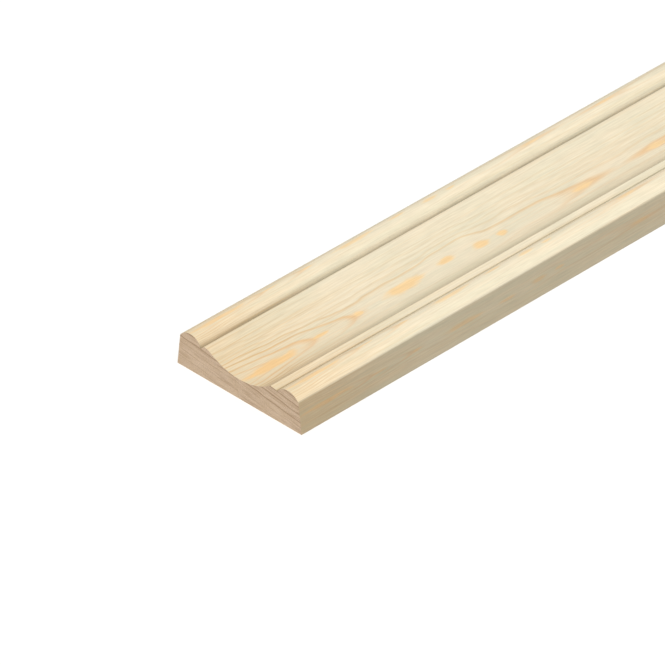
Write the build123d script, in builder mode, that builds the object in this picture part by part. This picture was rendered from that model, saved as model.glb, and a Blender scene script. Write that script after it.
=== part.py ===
from build123d import *
import os
from math import radians, sqrt, tan

# One length of profiled timber cover moulding. It lies on its flat back face, the
# length runs along X, the profiled face looks up and the fillet side is at -Y.

# Stock sizes, mm and degrees
length = 2400.0         # sawn square at both ends
width = 60.0            # across the flat back face
thickness = 15.0        # from the back face to the tops of the two beads
side_lean = 7.0         # each long side leans in from the back face by this angle

# Face profile; heights are given as drops from the level above them
bead_radius = 6.0
bead_drop = 2.6         # from the top of a bead to its sharp corner with the side
land_drop = 2.1         # from the top of a bead to the ogee crest and the upper edge of the fillet
groove_depth = 1.8      # from the crest to the bottom of the V groove beside the rear bead
groove_width = 1.95     # across the mouth of the groove, level with the crest
groove_lean = 5.0       # the bead side of the groove leans from upright by this angle
land_width = 0.45       # flat between the groove and the ogee
ogee_radius = 5.0       # the round that turns down into the scoop
scoop_depth = 4.85      # from the crest to the lowest line of the scoop
fillet_width = 2.8      # strip between the scoop and the front bead
fillet_fall = 0.35      # the fillet falls by this much towards the front bead
quirk_depth = 0.9       # from the lower edge of the fillet to the bottom of the quirk
quirk_width = 0.7       # across the mouth of the quirk, level with that edge

os.makedirs("parts", exist_ok=True)

# Levels above the back face
corner_z = thickness - bead_drop
land_z = thickness - land_drop
groove_z = land_z - groove_depth
scoop_z = land_z - scoop_depth
strip_z = land_z - fillet_fall
quirk_z = strip_z - quirk_depth
bead_z = thickness - bead_radius

# Bead centre, placed so that the arc meets the leaning side at the corner
corner_y = width / 2 - corner_z * tan(radians(side_lean))
bead_y = corner_y - sqrt(bead_radius**2 - (corner_z - bead_z)**2)

# Rear side of the hollow: the bead arc ends at the mouth of the groove, level with the land;
# the ogee arc leaves the land level
mouth_y = bead_y - sqrt(bead_radius**2 - (land_z - bead_z)**2)
groove_y = mouth_y - groove_depth * tan(radians(groove_lean))
shoulder_y = mouth_y - groove_width
crest_y = shoulder_y - land_width
ogee_z = land_z - ogee_radius

# Front side of the hollow: quirk at the foot of the front bead, then the fillet
quirk_y = sqrt(bead_radius**2 - (quirk_z - bead_z)**2) - bead_y
strip_y = sqrt(bead_radius**2 - (strip_z - bead_z)**2) - bead_y + quirk_width
fillet_y = strip_y + fillet_width

# Scoop: one arc, tangent to the ogee arc, down to scoop_z and up to the fillet
span = crest_y - fillet_y
half_chord = (span - 2 * ogee_radius * scoop_depth / span) / 2
scoop_y = fillet_y + half_chord
scoop_radius = (half_chord**2 + scoop_depth**2) / (2 * scoop_depth)
share = ogee_radius / (ogee_radius + scoop_radius)
turn_y = crest_y + (scoop_y - crest_y) * share
turn_z = ogee_z + (scoop_z + scoop_radius - ogee_z) * share

# Moulding: the section is drawn on the near end and run through to the far end
with BuildPart() as moulding:
    with BuildSketch(Plane.YZ.offset(-length / 2)):
        with BuildLine():
            Line((-width / 2, 0), (width / 2, 0))
            Line((width / 2, 0), (corner_y, corner_z))
            ThreePointArc((corner_y, corner_z), (bead_y, thickness), (mouth_y, land_z))
            Line((mouth_y, land_z), (groove_y, groove_z))
            Line((groove_y, groove_z), (shoulder_y, land_z))
            Line((shoulder_y, land_z), (crest_y, land_z))
            TangentArc((crest_y, land_z), (turn_y, turn_z), tangent=(-1, 0))
            ThreePointArc((turn_y, turn_z), (scoop_y, scoop_z), (fillet_y, land_z))
            Line((fillet_y, land_z), (strip_y, strip_z))
            Line((strip_y, strip_z), (quirk_y, quirk_z))
            ThreePointArc((quirk_y, quirk_z), (-bead_y, thickness), (-corner_y, corner_z))
            Line((-corner_y, corner_z), (-width / 2, 0))
        make_face()
    extrude(amount=length)

moulding.part.label = "moulding"
export_step(moulding.part, "parts/moulding.step")
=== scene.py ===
import math

import bmesh
import bpy
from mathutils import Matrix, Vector


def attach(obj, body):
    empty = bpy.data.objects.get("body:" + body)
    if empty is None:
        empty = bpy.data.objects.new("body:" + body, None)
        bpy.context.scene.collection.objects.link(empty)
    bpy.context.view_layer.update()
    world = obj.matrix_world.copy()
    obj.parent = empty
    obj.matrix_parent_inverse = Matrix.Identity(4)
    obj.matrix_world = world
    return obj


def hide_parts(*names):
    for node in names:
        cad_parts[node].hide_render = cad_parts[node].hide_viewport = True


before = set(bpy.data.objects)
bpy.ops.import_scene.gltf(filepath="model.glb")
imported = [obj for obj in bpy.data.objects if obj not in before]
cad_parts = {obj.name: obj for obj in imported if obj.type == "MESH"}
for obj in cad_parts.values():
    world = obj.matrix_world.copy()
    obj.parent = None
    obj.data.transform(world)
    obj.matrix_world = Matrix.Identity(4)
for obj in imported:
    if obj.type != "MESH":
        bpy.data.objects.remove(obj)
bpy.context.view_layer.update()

# Moulding: one length of planed pine, flat on its back, with a bead along each edge and a grooved
# ogee, a wide scoop and a fillet between them. The profile is cut in one pass through a moulder
# and both ends are sawn square.
mm = 0.001
length = 2400 * mm
width = 60 * mm
thickness = 15 * mm
side_lean = math.radians(7)
bead_radius = 6 * mm
bead_drop = 2.6 * mm
land_drop = 2.1 * mm
land_width = 0.45 * mm
groove_depth = 1.8 * mm
groove_width = 1.95 * mm
groove_lean = math.radians(5)
ogee_radius = 5 * mm
scoop_depth = 4.85 * mm
fillet_width = 2.8 * mm
fillet_fall = 0.35 * mm
quirk_depth = 0.9 * mm
quirk_width = 0.7 * mm

# Wear: what handling takes off the sharp arrises, and the wider round of the groove's edge at the
# foot of the rear bead, whose arc stops short of it by this angle to leave it a flat.
arris_wear = 0.15 * mm
mouth_wear = 0.7 * mm
mouth_flat = math.radians(8)

# Levels of the section above the back
corner_height = thickness - bead_drop
bead_height = thickness - bead_radius
land_height = thickness - land_drop
groove_height = land_height - groove_depth
ogee_height = land_height - ogee_radius
scoop_height = land_height - scoop_depth
strip_height = land_height - fillet_fall
quirk_height = strip_height - quirk_depth

# Places across the section: the rear bead and its groove, the front bead and its fillet, and the
# scoop, one arc that runs on from the ogee's and ends at the fillet
corner_y = width / 2 - corner_height * math.tan(side_lean)
bead_y = corner_y - math.sqrt(bead_radius**2 - (corner_height - bead_height)**2)
mouth_y = bead_y - math.sqrt(bead_radius**2 - (land_height - bead_height)**2)
brow = math.asin((land_height - bead_height) / bead_radius) + mouth_flat
brow_y = bead_y - bead_radius * math.cos(brow)
brow_height = bead_height + bead_radius * math.sin(brow)
groove_y = mouth_y - groove_depth * math.tan(groove_lean)
shoulder_y = mouth_y - groove_width
crest_y = shoulder_y - land_width
quirk_y = math.sqrt(bead_radius**2 - (quirk_height - bead_height)**2) - bead_y
strip_y = math.sqrt(bead_radius**2 - (strip_height - bead_height)**2) - bead_y + quirk_width
fillet_y = strip_y + fillet_width
span = crest_y - fillet_y
half_chord = (span - 2 * ogee_radius * scoop_depth / span) / 2
scoop_y = fillet_y + half_chord
scoop_radius = (half_chord**2 + scoop_depth**2) / (2 * scoop_depth)
scoop_centre = scoop_height + scoop_radius
ogee_share = ogee_radius / (ogee_radius + scoop_radius)
roll_y = crest_y + (scoop_y - crest_y) * ogee_share
roll_height = ogee_height + (scoop_centre - ogee_height) * ogee_share

rear_foot = (width / 2, 0)
rear_corner = (corner_y, corner_height)
rear_brow = (brow_y, brow_height)
mouth = (mouth_y, land_height)
groove = (groove_y, groove_height)
shoulder = (shoulder_y, land_height)
crest = (crest_y, land_height)
roll = (roll_y, roll_height)
fillet = (fillet_y, land_height)
strip = (strip_y, strip_height)
quirk = (quirk_y, quirk_height)
front_corner = (-corner_y, corner_height)
front_foot = (-width / 2, 0)


def pick(test):
    """Selects the moulding's edges whose two ends pass the test."""
    form = bmesh.from_edit_mesh(moulding.data)
    bpy.ops.mesh.select_all(action="DESELECT")
    for edge in form.edges:
        edge.select_set(all(test(vert.co) for vert in edge.verts))
    bmesh.update_edit_mesh(moulding.data)


def draw(start, end):
    """Draws the picked edge straight on from one point of the section to the next."""
    move = (0, end[0] - start[0], end[1] - start[1])
    bpy.ops.mesh.extrude_region_move(TRANSFORM_OT_translate={"value": move})


def turn(centre, start, end, steps):
    """Turns the picked edge round a centre from one point of the section to the next."""
    first = math.atan2(start[1] - centre[1], start[0] - centre[0])
    last = math.atan2(end[1] - centre[1], end[0] - centre[0])
    bpy.ops.mesh.spin(steps=steps, angle=first - last, center=(0, *centre), axis=(1, 0, 0))


def ease(arrises, wear, facets):
    """Rounds the edges that run along the length at these points of the section."""
    form = bmesh.from_edit_mesh(moulding.data)
    bpy.ops.mesh.select_all(action="DESELECT")
    for edge in form.edges:
        ends = [vert.co for vert in edge.verts]
        for y, z in arrises:
            if all(math.hypot(end.y - y, end.z - z) < 0.01 * mm for end in ends):
                edge.select_set(True)
    bmesh.update_edit_mesh(moulding.data)
    bpy.ops.mesh.bevel(offset=wear, segments=facets, affect="EDGES")


bpy.ops.object.select_all(action="DESELECT")
bpy.ops.mesh.primitive_plane_add(size=1)
moulding = bpy.context.object
moulding.name = "planed_moulding"
bpy.ops.object.mode_set(mode="EDIT")
bpy.ops.transform.resize(value=(length, width, 1))
pick(lambda point: point.y > width * 0.49)
draw(rear_foot, rear_corner)
turn((bead_y, bead_height), rear_corner, rear_brow, 26)
draw(rear_brow, mouth)
draw(mouth, groove)
draw(groove, shoulder)
draw(shoulder, crest)
turn((crest_y, ogee_height), crest, roll, 12)
turn((scoop_y, scoop_centre), roll, fillet, 36)
draw(fillet, strip)
draw(strip, quirk)
turn((-bead_y, bead_height), quirk, front_corner, 28)
draw(front_corner, front_foot)
bpy.ops.mesh.select_all(action="SELECT")
bpy.ops.mesh.remove_doubles(threshold=0.01 * mm)

# The two sawn ends, and a cut across the middle so that the texture map has two halves
for end in (-1, 1):
    pick(lambda point: point.x * end > length * 0.49)
    bpy.ops.mesh.edge_face_add()
bpy.ops.mesh.select_all(action="SELECT")
bpy.ops.mesh.bisect(plane_co=(0, 0, 0), plane_no=(1, 0, 0))
bpy.ops.mesh.select_all(action="SELECT")
bpy.ops.mesh.normals_make_consistent(inside=False)

ease([rear_foot, rear_corner, shoulder, fillet, strip, front_corner, front_foot], arris_wear, 2)
ease([mouth], mouth_wear, 5)
bpy.ops.object.mode_set(mode="OBJECT")
bpy.ops.object.shade_smooth_by_angle(angle=math.radians(20))


# The figure is centred 1.5 mm to the front across the hollow, halfway up each side and near the
# crown of each bead, and on the sides and the beads it is drawn 0.38 to 0.45 as wide.
def figure(y, z, middle):
    """How far, in mm, a point lies across the grain figure of the face that has this middle."""
    if abs(middle.y) > corner_y and middle.z < corner_height:
        return (z / mm - 7) / 0.38
    if middle.y > mouth_y and middle.z > corner_height:
        return (bead_radius / mm * math.atan2(bead_y - y, z - bead_height) + 0.3) / 0.4
    if middle.y < quirk_y and middle.z > quirk_height:
        return (bead_radius / mm * math.atan2(-bead_y - y, z - bead_height) + 1.0) / 0.45
    return -y / mm - 1.5


def clearness(middle):
    """How strongly the figure shows on the face that has this middle."""
    if abs(middle.y) > corner_y and middle.z < corner_height:
        return 0.6
    if middle.z > corner_height and (middle.y > mouth_y or middle.y < quirk_y):
        return 0.7
    return 1.0


def part_way(distance, reach):
    """From 0 to 1 as a distance goes from nothing to its reach, in mm."""
    return min(1.0, max(0.0, distance / mm / reach))


def painted_light_and_shade(y, z, middle):
    """Red, green and blue factors of painted light and shade here, against plain wood high in the
    hollow.
    """
    share = 1.0
    warmth = 0.0
    # Painted shade in the creases, darkest at the bottoms of the groove and the quirk and gone 1 and 1.2
    # mm away, with a warmer tint where it is darkest.
    for deep, reach, loss in ((groove, 1.0, 0.32), (quirk, 1.2, 0.38)):
        crease_shade = loss * (1 - part_way(math.hypot(y - deep[0], z - deep[1]), reach))
        share *= 1 - crease_shade
        warmth = max(warmth, crease_shade)
    # Painted highlight on the crowns of the beads, growing over 1.1 mm of height above the land.
    crown = part_way(z - land_height, 1.1)
    # The sides get a warmer, slightly brighter painted tone for their shade, in place of the crease
    # shade.
    if abs(middle.y) > corner_y:  # sides
        share = 1.03
        warmth = 1.0
    elif middle.z > land_height and middle.y > 0:  # rear bead
        # Painted shade at the foot of the rear bead, within 1.5 mm of the groove's mouth.
        foot = 1 - part_way(y - mouth_y, 1.5)
        share *= 1 + 0.06 * crown - 0.03 * foot
    elif middle.z > land_height:  # front bead
        # Painted highlight on the crown and the front slope of the front bead.
        outer_slope = part_way(-bead_y - y, 4)
        share *= 1 + max(0.09 * crown, 0.19 * outer_slope)
    elif groove_y < middle.y < mouth_y + 0.1 * mm and middle.z > groove_height:  # steep wall
        # A cooler painted tone on the steep wall of the groove.
        warmth = -0.8
    elif quirk_y < middle.y < fillet_y:  # fillet
        # Painted highlight on the fillet.
        share *= 1.07
    elif fillet_y < middle.y < crest_y and middle.z > 1 * mm:  # scoop and ogee
        # Painted light over the bottom of the scoop and within 2 mm of the crest, and a warmer painted
        # shadow on the scoop under the fillet.
        from_fillet = (y - fillet_y) / mm
        bottom = math.exp(-((from_fillet - 9) / 6)**2)
        under_fillet = math.exp(-(from_fillet / 2.8)**2)
        shoulder_edge = 1 - part_way(crest_y - y, 2)
        share *= 1 + 0.07 * bottom - 0.17 * under_fillet
        share *= 1 + 0.05 * shoulder_edge
        warmth = max(0.0, 1 - from_fillet / 9)
    return share, share * (1 - 0.035 * warmth), share * (1 - 0.09 * warmth)


# Every corner keeps, in mm, its place along the length, across the grain figure and round the
# section, how clearly the figure shows there, and its painted light and shade: painted highlights on
# the crowns of the beads, the front slope of the front bead, the fillet, the ogee next to the crest and
# the bottom of the scoop, painted shade in the groove, the quirk, at the foot of the rear bead and on
# the scoop under the fillet, a cooler painted tone on the steep wall of the groove, and a warmer painted
# tone on the sides and in the painted shade. The walk also lays the faces out for a texture map, one
# half of the length above the other, with the ends in a strip beside them.
form = bmesh.new()
form.from_mesh(moulding.data)
grain_layer = form.loops.layers.float_vector.new("along_grain")
painted_light_layer = form.loops.layers.float_vector.new("painted_light_and_shade")
clear_layer = form.loops.layers.float.new("clearness")
chart = form.loops.layers.uv.new("OFBake")
near_end = min(form.faces, key=lambda face: face.calc_center_median().x)
walk = []
girth = 0.0
for loop in near_end.loops:
    here = loop.vert.co
    walk.append((here.y, here.z, girth))
    girth += (loop.link_loop_next.vert.co - here).length / mm
begin = max(walk, key=lambda step: step[0] - step[1])[2]
for face in form.faces:
    middle = face.calc_center_median()
    half = 0 if middle.x < 0 else 1
    rounds = []
    for loop in face.loops:
        here = loop.vert.co
        match = min(walk, key=lambda step: math.hypot(step[0] - here.y, step[1] - here.z))
        rounds.append((match[2] - begin) % girth)
    for loop, around in zip(face.loops, rounds):
        if max(rounds) - min(rounds) > girth / 2 and around < girth / 2:
            around += girth
        x, y, z = loop.vert.co
        loop[grain_layer] = ((x + length / 2) / mm, figure(y, z, middle), around)
        loop[painted_light_layer] = painted_light_and_shade(y, z, middle)
        loop[clear_layer] = clearness(middle)
        if abs(face.normal.x) > 0.5:
            loop[chart].uv = (0.88 + 0.1 * z / thickness, half / 2 + 0.02 + 0.46 * (0.5 - y / width))
        else:
            half_way = (x / length + 0.5) * 2 - half
            loop[chart].uv = (0.01 + 0.85 * half_way, half / 2 + 0.01 + 0.48 * around / girth)
form.to_mesh(moulding.data)
form.free()
bpy.ops.object.modifier_add(type="WEIGHTED_NORMAL")
moulding.modifiers[0].keep_sharp = True
bpy.ops.object.modifier_apply(modifier=moulding.modifiers[0].name)


def linear(code):
    """An sRGB hex colour as linear red, green, blue and alpha."""
    parts = [int(code[i:i + 2], 16) / 255 for i in (1, 3, 5)]
    return [p / 12.92 if p <= 0.04045 else ((p + 0.055) / 1.055)**2.4 for p in parts] + [1.0]


def lay(finish, kind, feeds, **settings):
    """Adds a node to a material or world; each feed is a value or the output that drives it."""
    made = finish.node_tree.nodes.new(kind)
    for name, value in settings.items():
        setattr(made, name, value)
    for socket, feed in feeds.items():
        if isinstance(feed, bpy.types.NodeSocket):
            finish.node_tree.links.new(feed, made.inputs[socket])
        else:
            made.inputs[socket].default_value = feed
    return made


# Planed pine: pale creamy sapwood cut across the face of the rings, so that darker latewood runs in
# long tongues and ovals along the middle and in fine straight lines to each side. Knife-planed, it
# has a soft low sheen; the latewood is denser, a little more orange and a little shinier.
pine = bpy.data.materials.new("planed_pine")
pine.use_nodes = True
place = lay(pine, "ShaderNodeAttribute", {}, attribute_name="along_grain")
place = lay(pine, "ShaderNodeSeparateXYZ", {0: place.outputs["Vector"]})
run, over, around = place.outputs
clear = lay(pine, "ShaderNodeAttribute", {}, attribute_name="clearness").outputs["Fac"]

# Past the near end the figure comes back mirrored every 186 mm or so. Slow drifts, 170 to 330 mm
# long, set in between 190 and 420 mm along: they shift each return along and across and lift some
# stretches clear of it, so that no two are alike and some are straight-grained.
figure_length = 186
far = lay(pine, "ShaderNodeMapRange", {"Value": run, "From Min": 190, "From Max": 420},
          interpolation_type="SMOOTHSTEP").outputs[0]
drift = lay(pine, "ShaderNodeMath", {0: run, 1: 1 / 170}, operation="MULTIPLY").outputs[0]
drift = lay(pine, "ShaderNodeTexNoise", {"W": drift, "Detail": 1}, noise_dimensions="1D").outputs[0]
drift = lay(pine, "ShaderNodeMapRange", {"Value": drift, "From Min": 0.25, "From Max": 0.75,
                                         "To Min": -45, "To Max": 45}).outputs[0]
drift = lay(pine, "ShaderNodeMath", {0: drift, 1: far, 2: run}, operation="MULTIPLY_ADD").outputs[0]
fold = lay(pine, "ShaderNodeMath", {0: drift, 1: figure_length}, operation="PINGPONG").outputs[0]
sway = lay(pine, "ShaderNodeMath", {0: run, 1: 1 / 260, 2: 7}, operation="MULTIPLY_ADD").outputs[0]
sway = lay(pine, "ShaderNodeTexNoise", {"W": sway, "Detail": 1}, noise_dimensions="1D").outputs[0]
sway = lay(pine, "ShaderNodeMapRange", {"Value": sway, "From Min": 0.25, "From Max": 0.75,
                                        "To Min": -7, "To Max": 7}).outputs[0]
sway = lay(pine, "ShaderNodeMath", {0: sway, 1: far, 2: over}, operation="MULTIPLY_ADD").outputs[0]
lift = lay(pine, "ShaderNodeMath", {0: run, 1: 1 / 330, 2: 3}, operation="MULTIPLY_ADD").outputs[0]
lift = lay(pine, "ShaderNodeTexNoise", {"W": lift, "Detail": 1}, noise_dimensions="1D").outputs[0]
lift = lay(pine, "ShaderNodeMapRange", {"Value": lift, "From Min": 0.42, "From Max": 0.7,
                                        "To Max": 160}).outputs[0]
lift = lay(pine, "ShaderNodeMath", {0: lift, 1: far}, operation="MULTIPLY").outputs[0]

# The fibres waver across by about half a millimetre, over 26 mm along and 9 mm across.
weave = lay(pine, "ShaderNodeCombineXYZ", {0: run, 1: over}).outputs[0]
weave = lay(pine, "ShaderNodeVectorMath", {0: weave, 1: (1 / 26, 1 / 9, 0)},
            operation="MULTIPLY").outputs[0]
weave = lay(pine, "ShaderNodeTexNoise", {"Vector": weave, "Scale": 1, "Detail": 2},
            noise_dimensions="2D").outputs[0]
weave = lay(pine, "ShaderNodeMapRange", {"Value": weave, "From Min": 0.2, "From Max": 0.8,
                                         "To Min": -1, "To Max": 1}).outputs[0]
side = lay(pine, "ShaderNodeMath", {0: weave, 1: sway}, operation="ADD").outputs[0]

# How far the face has climbed from the heart of the rings, in square mm, at each mm of the figure: a
# ring closes in a tongue where the climb passes its radius squared.
climb_run = 200
climb_top = 120
climb = lay(pine, "ShaderNodeMath", {0: fold, 1: 1 / climb_run}, operation="MULTIPLY").outputs[0]
climb = lay(pine, "ShaderNodeFloatCurve", {"Value": climb})
for along, height in ((10, 11), (20, 25), (30, 34), (40, 47), (50, 61), (57, 70), (65, 61), (80, 58),
                      (90, 60), (100, 45), (110, 48), (120, 61), (130, 71), (140, 77), (150, 84),
                      (160, 93), (168, 97), (186, 106)):
    climb.mapping.curves[0].points.new(along / climb_run, height / climb_top)
climb.mapping.update()
climb = lay(pine, "ShaderNodeMath", {0: climb.outputs[0], 1: climb_top, 2: lift},
            operation="MULTIPLY_ADD").outputs[0]
ring = lay(pine, "ShaderNodeMath", {0: side, 1: side, 2: climb}, operation="MULTIPLY_ADD").outputs[0]
ring = lay(pine, "ShaderNodeMath", {0: ring}, operation="SQRT").outputs[0]

# Latewood lines, by the radius of their ring in mm: each darkens outwards over 0.55 mm and ends in
# 0.3 mm. The inner ones close in tongues within 60 mm of the end. They are fainter to the front of
# the figure, past the first 20 to 40 mm, and on the beads and the sides.
widest_ring = 16
lines = lay(pine, "ShaderNodeMath", {0: ring, 1: 1 / widest_ring}, operation="MULTIPLY").outputs[0]
lines = lay(pine, "ShaderNodeValToRGB", {0: lines})
stops = lines.color_ramp.elements
stops[0].color = (0, 0, 0, 1)
stops[1].color = (0, 0, 0, 1)
for radius, strength in ((4.2, 0.5), (6.3, 0.8), (8.3, 1.0), (10.0, 0.9), (11.6, 0.5),
                         (13.0, 0.35), (14.4, 0.35)):
    for reached, value in ((radius - 0.55, 0), (radius, strength), (radius + 0.3, 0)):
        stops.new(reached / widest_ring).color = (value, value, value, 1)
inner = lay(pine, "ShaderNodeMapRange", {"Value": fold, "From Min": 55, "From Max": 61,
                                         "To Min": 1, "To Max": 0}).outputs[0]
outer = lay(pine, "ShaderNodeMapRange", {"Value": ring, "From Min": 8.6, "From Max": 9.2}).outputs[0]
inner = lay(pine, "ShaderNodeMath", {0: inner, 1: outer}, operation="MAXIMUM").outputs[0]
lines = lay(pine, "ShaderNodeMath", {0: lines.outputs[0], 1: inner}, operation="MULTIPLY").outputs[0]
front = lay(pine, "ShaderNodeMapRange", {"Value": side, "From Max": 4}).outputs[0]
apart = lay(pine, "ShaderNodeMapRange", {"Value": fold, "From Min": 12, "From Max": 32,
                                         "To Max": 0.65}).outputs[0]
front = lay(pine, "ShaderNodeMath", {0: front, 1: apart}, operation="MULTIPLY").outputs[0]
front = lay(pine, "ShaderNodeMath", {0: 1, 1: front}, operation="SUBTRACT").outputs[0]
lines = lay(pine, "ShaderNodeMath", {0: lines, 1: front}, operation="MULTIPLY").outputs[0]
faded = lay(pine, "ShaderNodeMapRange", {"Value": fold, "From Min": 20, "From Max": 40,
                                         "To Min": 1, "To Max": 0.72}).outputs[0]
faded = lay(pine, "ShaderNodeMath", {0: faded, 1: clear}, operation="MULTIPLY").outputs[0]
lines = lay(pine, "ShaderNodeMath", {0: lines, 1: faded}, operation="MULTIPLY").outputs[0]

# Fine straight lines, 0.9 mm apart and 120 mm long, away from the middle of the figure and plainer
# with distance from the end.
strand = lay(pine, "ShaderNodeCombineXYZ", {0: fold, 1: around}).outputs[0]
strand = lay(pine, "ShaderNodeVectorMath", {0: strand, 1: (1 / 120, 1 / 0.9, 0)},
             operation="MULTIPLY").outputs[0]
strand = lay(pine, "ShaderNodeTexNoise", {"Vector": strand, "Scale": 1, "Detail": 3, "Roughness": 0.65},
             noise_dimensions="2D").outputs[0]
strand = lay(pine, "ShaderNodeMapRange", {"Value": strand, "From Min": 0.5, "From Max": 0.7},
             interpolation_type="SMOOTHSTEP").outputs[0]
rim = lay(pine, "ShaderNodeMapRange", {"Value": ring, "From Min": 6, "From Max": 11,
                                       "To Min": 0.1, "To Max": 0.42},
          interpolation_type="SMOOTHSTEP").outputs[0]
plain = lay(pine, "ShaderNodeMapRange", {"Value": fold, "From Min": 15, "From Max": 70,
                                         "To Min": 1.4, "To Max": 0.55}).outputs[0]
rim = lay(pine, "ShaderNodeMath", {0: rim, 1: plain}, operation="MULTIPLY").outputs[0]
strand = lay(pine, "ShaderNodeMath", {0: strand, 1: rim}, operation="MULTIPLY").outputs[0]
latewood = lay(pine, "ShaderNodeMath", {0: lines, 1: strand}, operation="MAXIMUM").outputs[0]

# Patches of bare latewood, with ragged rims, where the knife has just broken into a ring: the tongue
# at the near end and its two tips, a long oval at 79 mm and four short ones after it. Each is given
# by its place along and across the figure and its half length and half width, in mm.
patches = ((13, 0.3, 14, 2.2), (38, -0.4, 3.8, 0.9), (56, -0.6, 2.2, 1.3), (78.8, -0.9, 9.6, 2.9),
           (100.5, -1.6, 4.4, 1.4), (116.2, -0.4, 3.9, 2.2), (126.3, 0.2, 2.3, 2.1),
           (167, 0.2, 4.5, 1.6))
spot = lay(pine, "ShaderNodeCombineXYZ", {0: fold, 1: side}).outputs[0]
ragged = lay(pine, "ShaderNodeVectorMath", {0: spot, 1: (1 / 5, 1 / 2.2, 0)},
             operation="MULTIPLY").outputs[0]
ragged = lay(pine, "ShaderNodeTexNoise", {"Vector": ragged, "Scale": 1, "Detail": 3},
             noise_dimensions="2D").outputs[0]
nearest = 2.0
for along, off, half_length, half_width in patches:
    away = lay(pine, "ShaderNodeVectorMath", {0: spot, 1: (along, off, 0)},
               operation="SUBTRACT").outputs[0]
    away = lay(pine, "ShaderNodeVectorMath", {0: away, 1: (1 / half_length, 1 / half_width, 0)},
               operation="MULTIPLY").outputs[0]
    away = lay(pine, "ShaderNodeVectorMath", {0: away}, operation="LENGTH").outputs["Value"]
    nearest = lay(pine, "ShaderNodeMath", {0: nearest, 1: away}, operation="MINIMUM").outputs[0]
nearest = lay(pine, "ShaderNodeMath", {0: ragged, 1: 0.7, 2: nearest},
              operation="MULTIPLY_ADD").outputs[0]
bare = lay(pine, "ShaderNodeMapRange", {"Value": nearest, "From Min": 1.6, "From Max": 0.9},
           interpolation_type="SMOOTHSTEP").outputs[0]
bare = lay(pine, "ShaderNodeMath", {0: bare, 1: clear}, operation="MULTIPLY").outputs[0]

# Colours: cream sapwood in two close shades, in drifts 38 mm long and 7 mm wide, buff latewood lines
# that turn orange towards the middle of the figure, and orange patches.
tint = lay(pine, "ShaderNodeVectorMath", {0: spot, 1: (1 / 38, 1 / 7, 0)},
           operation="MULTIPLY").outputs[0]
tint = lay(pine, "ShaderNodeTexNoise", {"Vector": tint, "Scale": 1, "Detail": 3},
           noise_dimensions="2D").outputs[0]
tint = lay(pine, "ShaderNodeMapRange", {"Value": tint, "From Min": 0.3, "From Max": 0.7},
           interpolation_type="SMOOTHSTEP").outputs[0]
sapwood = lay(pine, "ShaderNodeMix", {"Factor": tint, 6: linear("#DFD2B7"), 7: linear("#D8CFB5")},
              data_type="RGBA").outputs[2]
warm = lay(pine, "ShaderNodeMath", {0: side}, operation="ABSOLUTE").outputs[0]
warm = lay(pine, "ShaderNodeMapRange", {"Value": warm, "From Min": 9, "From Max": 1},
           interpolation_type="SMOOTHSTEP").outputs[0]
buff = lay(pine, "ShaderNodeMix", {"Factor": warm, 6: linear("#CDAF80"), 7: linear("#DBAC72")},
           data_type="RGBA").outputs[2]
colour = lay(pine, "ShaderNodeMix", {"Factor": latewood, 6: sapwood, 7: buff},
             data_type="RGBA").outputs[2]
colour = lay(pine, "ShaderNodeMix", {"Factor": bare, 6: colour, 7: linear("#E8C794")},
             data_type="RGBA").outputs[2]

# The wood warms over the last 60 mm at each end, which dried first and drew the resin, and the painted
# light and shade goes over the whole.
half_run = length / mm / 2
resin_reach = 60
resin = lay(pine, "ShaderNodeMath", {0: run, 1: half_run}, operation="SUBTRACT").outputs[0]
resin = lay(pine, "ShaderNodeMath", {0: resin}, operation="ABSOLUTE").outputs[0]
resin = lay(pine, "ShaderNodeMapRange", {"Value": resin, "From Min": half_run - resin_reach,
                                         "From Max": half_run}).outputs[0]
colour = lay(pine, "ShaderNodeMix", {"Factor": resin, 6: colour, 7: (0.963, 0.89, 0.80, 1)},
             data_type="RGBA", blend_type="MULTIPLY").outputs[2]
# The painted light and shade kept on the mesh multiplies the colour.
painted_light_share = lay(pine, "ShaderNodeAttribute", {}, attribute_name="painted_light_and_shade").outputs["Vector"]
colour = lay(pine, "ShaderNodeMix", {"Factor": 1, 6: colour, 7: painted_light_share},
             data_type="RGBA", blend_type="MULTIPLY").outputs[2]

# Bundles of fibres, really finer than 0.1 mm, drawn 0.45 mm wide and 12 mm long so that they show.
fibre = lay(pine, "ShaderNodeCombineXYZ", {0: run, 1: around}).outputs[0]
fibre = lay(pine, "ShaderNodeVectorMath", {0: fibre, 1: (1 / 12, 1 / 0.45, 0)},
            operation="MULTIPLY").outputs[0]
fibre = lay(pine, "ShaderNodeTexNoise", {"Vector": fibre, "Scale": 1, "Detail": 3, "Roughness": 0.6},
            noise_dimensions="2D").outputs[0]
shade = lay(pine, "ShaderNodeMapRange", {"Value": fibre, "From Min": 0.3, "From Max": 0.7,
                                         "To Min": 0.925, "To Max": 1.065}).outputs[0]
colour = lay(pine, "ShaderNodeMix", {"Factor": 1, 6: colour, 7: shade},
             data_type="RGBA", blend_type="MULTIPLY").outputs[2]
shader = pine.node_tree.nodes["Principled BSDF"]
pine.node_tree.links.new(colour, shader.inputs["Base Color"])
dense = lay(pine, "ShaderNodeMath", {0: latewood, 1: bare}, operation="MAXIMUM").outputs[0]
rough = lay(pine, "ShaderNodeMapRange", {"Value": dense, "To Min": 0.56, "To Max": 0.44}).outputs[0]
rough = lay(pine, "ShaderNodeMath", {0: fibre, 1: 0.12, 2: rough}, operation="MULTIPLY_ADD").outputs[0]
pine.node_tree.links.new(rough, shader.inputs["Roughness"])

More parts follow.
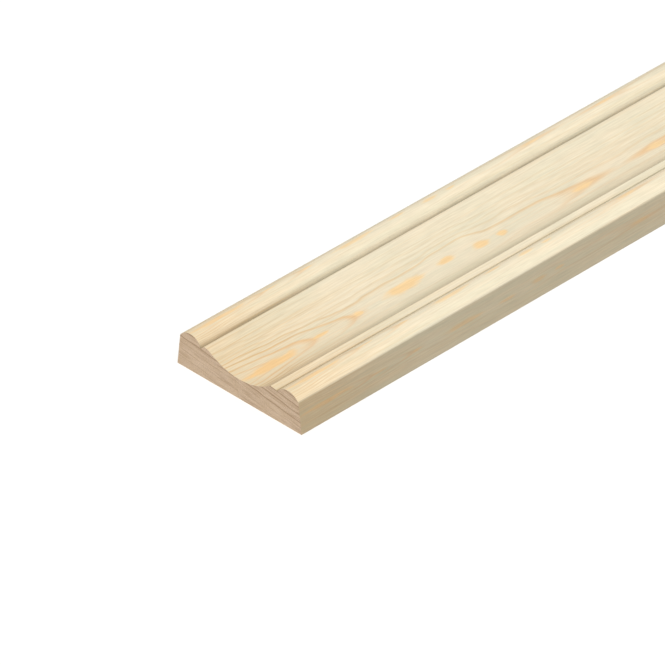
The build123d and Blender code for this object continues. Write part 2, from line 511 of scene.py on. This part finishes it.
# Relief: fibres 0.02 mm deep, latewood standing 0.02 mm proud, and the faint ripple of the knives,
# really 1.5 mm from wave to wave but drawn at 6 mm so that it shows.
knife_wave = 6
ripple = lay(pine, "ShaderNodeMath", {0: run, 1: 2 * math.pi / knife_wave},
             operation="MULTIPLY").outputs[0]
ripple = lay(pine, "ShaderNodeMath", {0: ripple}, operation="SINE").outputs[0]
relief = lay(pine, "ShaderNodeMath", {0: fibre, 1: dense}, operation="ADD").outputs[0]
relief = lay(pine, "ShaderNodeMath", {0: relief, 1: 0.02}, operation="MULTIPLY").outputs[0]
relief = lay(pine, "ShaderNodeMath", {0: ripple, 1: 0.005, 2: relief},
             operation="MULTIPLY_ADD").outputs[0]
bump = lay(pine, "ShaderNodeBump", {"Height": relief, "Distance": mm, "Strength": 1}).outputs[0]
pine.node_tree.links.new(bump, shader.inputs["Normal"])

# Sawn end grain: the rings cut across, 3 mm apart, nearly flat and falling to the front; only the
# upper ones stand out. The open ends of the fibres drink the light, so the ends are browner, darker
# and duller than the faces, and the saw leaves fine upright scores.
ring_gap = 3
ring_fall = 0.132
score_gap = 0.9
end_grain = bpy.data.materials.new("sawn_pine_end")
end_grain.use_nodes = True
cut = lay(end_grain, "ShaderNodeTexCoord", {}).outputs["Object"]
cut = lay(end_grain, "ShaderNodeVectorMath", {0: cut, "Scale": 1 / mm}, operation="SCALE").outputs[0]
cut_y, cut_z = lay(end_grain, "ShaderNodeSeparateXYZ", {0: cut}).outputs[1:3]
flat = lay(end_grain, "ShaderNodeCombineXYZ", {0: cut_y, 1: cut_z}).outputs[0]
bend = lay(end_grain, "ShaderNodeVectorMath", {0: flat, 1: (1 / 11, 1 / 4, 0)},
           operation="MULTIPLY").outputs[0]
bend = lay(end_grain, "ShaderNodeTexNoise", {"Vector": bend, "Scale": 1, "Detail": 2},
           noise_dimensions="2D").outputs[0]
level = lay(end_grain, "ShaderNodeMath", {0: cut_y, 1: -ring_fall, 2: cut_z},
            operation="MULTIPLY_ADD").outputs[0]
level = lay(end_grain, "ShaderNodeMath", {0: level, 1: bend}, operation="ADD").outputs[0]
year = lay(end_grain, "ShaderNodeMath", {0: level, 1: 1 / ring_gap, 2: 0.467},
           operation="MULTIPLY_ADD").outputs[0]
year = lay(end_grain, "ShaderNodeMath", {0: year}, operation="FRACT").outputs[0]
band = lay(end_grain, "ShaderNodeValToRGB", {0: year})
stops = band.color_ramp.elements
stops[0].color = (0, 0, 0, 1)
stops[1].color = (0, 0, 0, 1)
for season, value in ((0.35, 0.15), (0.47, 0.7), (0.51, 1.0), (0.55, 0.9), (0.6, 0.0)):
    stops.new(season).color = (value, value, value, 1)
upper = lay(end_grain, "ShaderNodeMapRange", {"Value": level, "From Min": 6.3, "From Max": 8.2,
                                              "To Min": 0.15}).outputs[0]
band = lay(end_grain, "ShaderNodeMath", {0: band.outputs[0], 1: upper}, operation="MULTIPLY").outputs[0]

# Fine lines half a millimetre apart between the rings, and a mottle of two browns 3 to 5 mm across
fine = lay(end_grain, "ShaderNodeCombineXYZ", {0: cut_y, 1: level}).outputs[0]
fine = lay(end_grain, "ShaderNodeVectorMath", {0: fine, 1: (1 / 12, 1.9, 0)},
           operation="MULTIPLY").outputs[0]
fine = lay(end_grain, "ShaderNodeTexNoise", {"Vector": fine, "Scale": 1, "Detail": 2},
           noise_dimensions="2D").outputs[0]
fine = lay(end_grain, "ShaderNodeMapRange", {"Value": fine, "From Min": 0.42, "From Max": 0.7,
                                             "To Max": 0.5}).outputs[0]
band = lay(end_grain, "ShaderNodeMath", {0: band, 1: fine}, operation="MAXIMUM").outputs[0]
mottle = lay(end_grain, "ShaderNodeVectorMath", {0: flat, 1: (1 / 5, 1 / 3, 0)},
             operation="MULTIPLY").outputs[0]
mottle = lay(end_grain, "ShaderNodeTexNoise", {"Vector": mottle, "Scale": 1, "Detail": 4,
                                               "Roughness": 0.65}, noise_dimensions="2D").outputs[0]
mottle = lay(end_grain, "ShaderNodeMapRange", {"Value": mottle, "From Min": 0.3,
                                               "From Max": 0.7}).outputs[0]
brown = lay(end_grain, "ShaderNodeMix", {"Factor": mottle, 6: linear("#CBB193"), 7: linear("#D3BA9F")},
            data_type="RGBA").outputs[2]
brown = lay(end_grain, "ShaderNodeMix", {"Factor": band, 6: brown, 7: linear("#9E8164")},
            data_type="RGBA").outputs[2]

# Pores half a millimetre across, coarser than the real ones so that they show, and the scores
pores = lay(end_grain, "ShaderNodeTexNoise", {"Vector": flat, "Scale": 2.0, "Detail": 3},
            noise_dimensions="2D").outputs[0]
grit = lay(end_grain, "ShaderNodeMapRange", {"Value": pores, "From Min": 0.3, "From Max": 0.7,
                                             "To Min": 0.9, "To Max": 1.1}).outputs[0]
brown = lay(end_grain, "ShaderNodeMix", {"Factor": 1, 6: brown, 7: grit},
            data_type="RGBA", blend_type="MULTIPLY").outputs[2]
shader = end_grain.node_tree.nodes["Principled BSDF"]
end_grain.node_tree.links.new(brown, shader.inputs["Base Color"])
rough = lay(end_grain, "ShaderNodeMapRange", {"Value": pores, "To Min": 0.78, "To Max": 0.95}).outputs[0]
end_grain.node_tree.links.new(rough, shader.inputs["Roughness"])
score = lay(end_grain, "ShaderNodeMath", {0: cut_y, 1: 2 * math.pi / score_gap, 2: cut_z},
            operation="MULTIPLY_ADD").outputs[0]
score = lay(end_grain, "ShaderNodeMath", {0: score}, operation="SINE").outputs[0]
score = lay(end_grain, "ShaderNodeMath", {0: score, 1: 0.1, 2: pores},
            operation="MULTIPLY_ADD").outputs[0]
score = lay(end_grain, "ShaderNodeMath", {0: score, 1: 0.12}, operation="MULTIPLY").outputs[0]
bump = lay(end_grain, "ShaderNodeBump", {"Height": score, "Distance": mm, "Strength": 1}).outputs[0]
end_grain.node_tree.links.new(bump, shader.inputs["Normal"])

moulding.data.materials.append(pine)
moulding.data.materials.append(end_grain)
for face in moulding.data.polygons:
    face.material_index = 1 if abs(face.normal.x) > 0.5 else 0
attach(moulding, "root")
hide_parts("moulding")

# Studio floor: a plain sheet of white paper out to the horizon, as in a catalogue. It throws no
# light back on the piece.
bpy.ops.object.select_all(action="DESELECT")
bpy.ops.mesh.primitive_plane_add(size=60)
floor = bpy.context.object
floor.name = "studio_floor"
floor.visible_diffuse = False
paper = bpy.data.materials.new("white_paper")
paper.use_nodes = True
shader = paper.node_tree.nodes["Principled BSDF"]
shader.inputs["Base Color"].default_value = linear("#F4F4F2")
shader.inputs["Roughness"].default_value = 0.9
floor.data.materials.append(paper)

# Studio light: an even white dome above the horizon, and one broad key light high beyond the near
# end and a little to the front.
dome = bpy.data.worlds.new("studio_dome")
bpy.context.scene.world = dome
dome.use_nodes = True
glow = lay(dome, "ShaderNodeTexCoord", {}).outputs["Generated"]
glow = lay(dome, "ShaderNodeSeparateXYZ", {0: glow}).outputs["Z"]
glow = lay(dome, "ShaderNodeMapRange", {"Value": glow, "From Min": -0.02, "From Max": 0.02,
                                        "To Max": 0.44}).outputs[0]
background = dome.node_tree.nodes["Background"]
background.inputs["Color"].default_value = (1, 1, 1, 1)
dome.node_tree.links.new(glow, background.inputs["Strength"])
key = bpy.data.lights.new("key_light", "SUN")
key.energy = 3.4
key.angle = math.radians(30)
lamp = bpy.data.objects.new("key_light", key)
bpy.context.scene.collection.objects.link(lamp)
lamp.rotation_mode = "QUATERNION"
lamp.rotation_quaternion = Vector((-0.667, -0.281, 0.689)).to_track_quat("Z", "Y")

# Camera: a long lens that looks down the length at 45 degrees from the side and about 35 from above.
eye = Vector((-2.60065, -1.44528, 1.42684))
look = Vector((0.58051, 0.58051, -0.57098))
lens = bpy.data.cameras.new("camera")
lens.lens = 395.0
lens.sensor_width = 36.0
lens.clip_start = 0.1
lens.clip_end = 200
camera = bpy.data.objects.new("camera", lens)
bpy.context.scene.collection.objects.link(camera)
camera.location = eye
camera.rotation_mode = "QUATERNION"
camera.rotation_quaternion = look.to_track_quat("-Z", "Y")
bpy.context.scene.camera = camera
bpy.context.scene.view_settings.view_transform = "Standard"
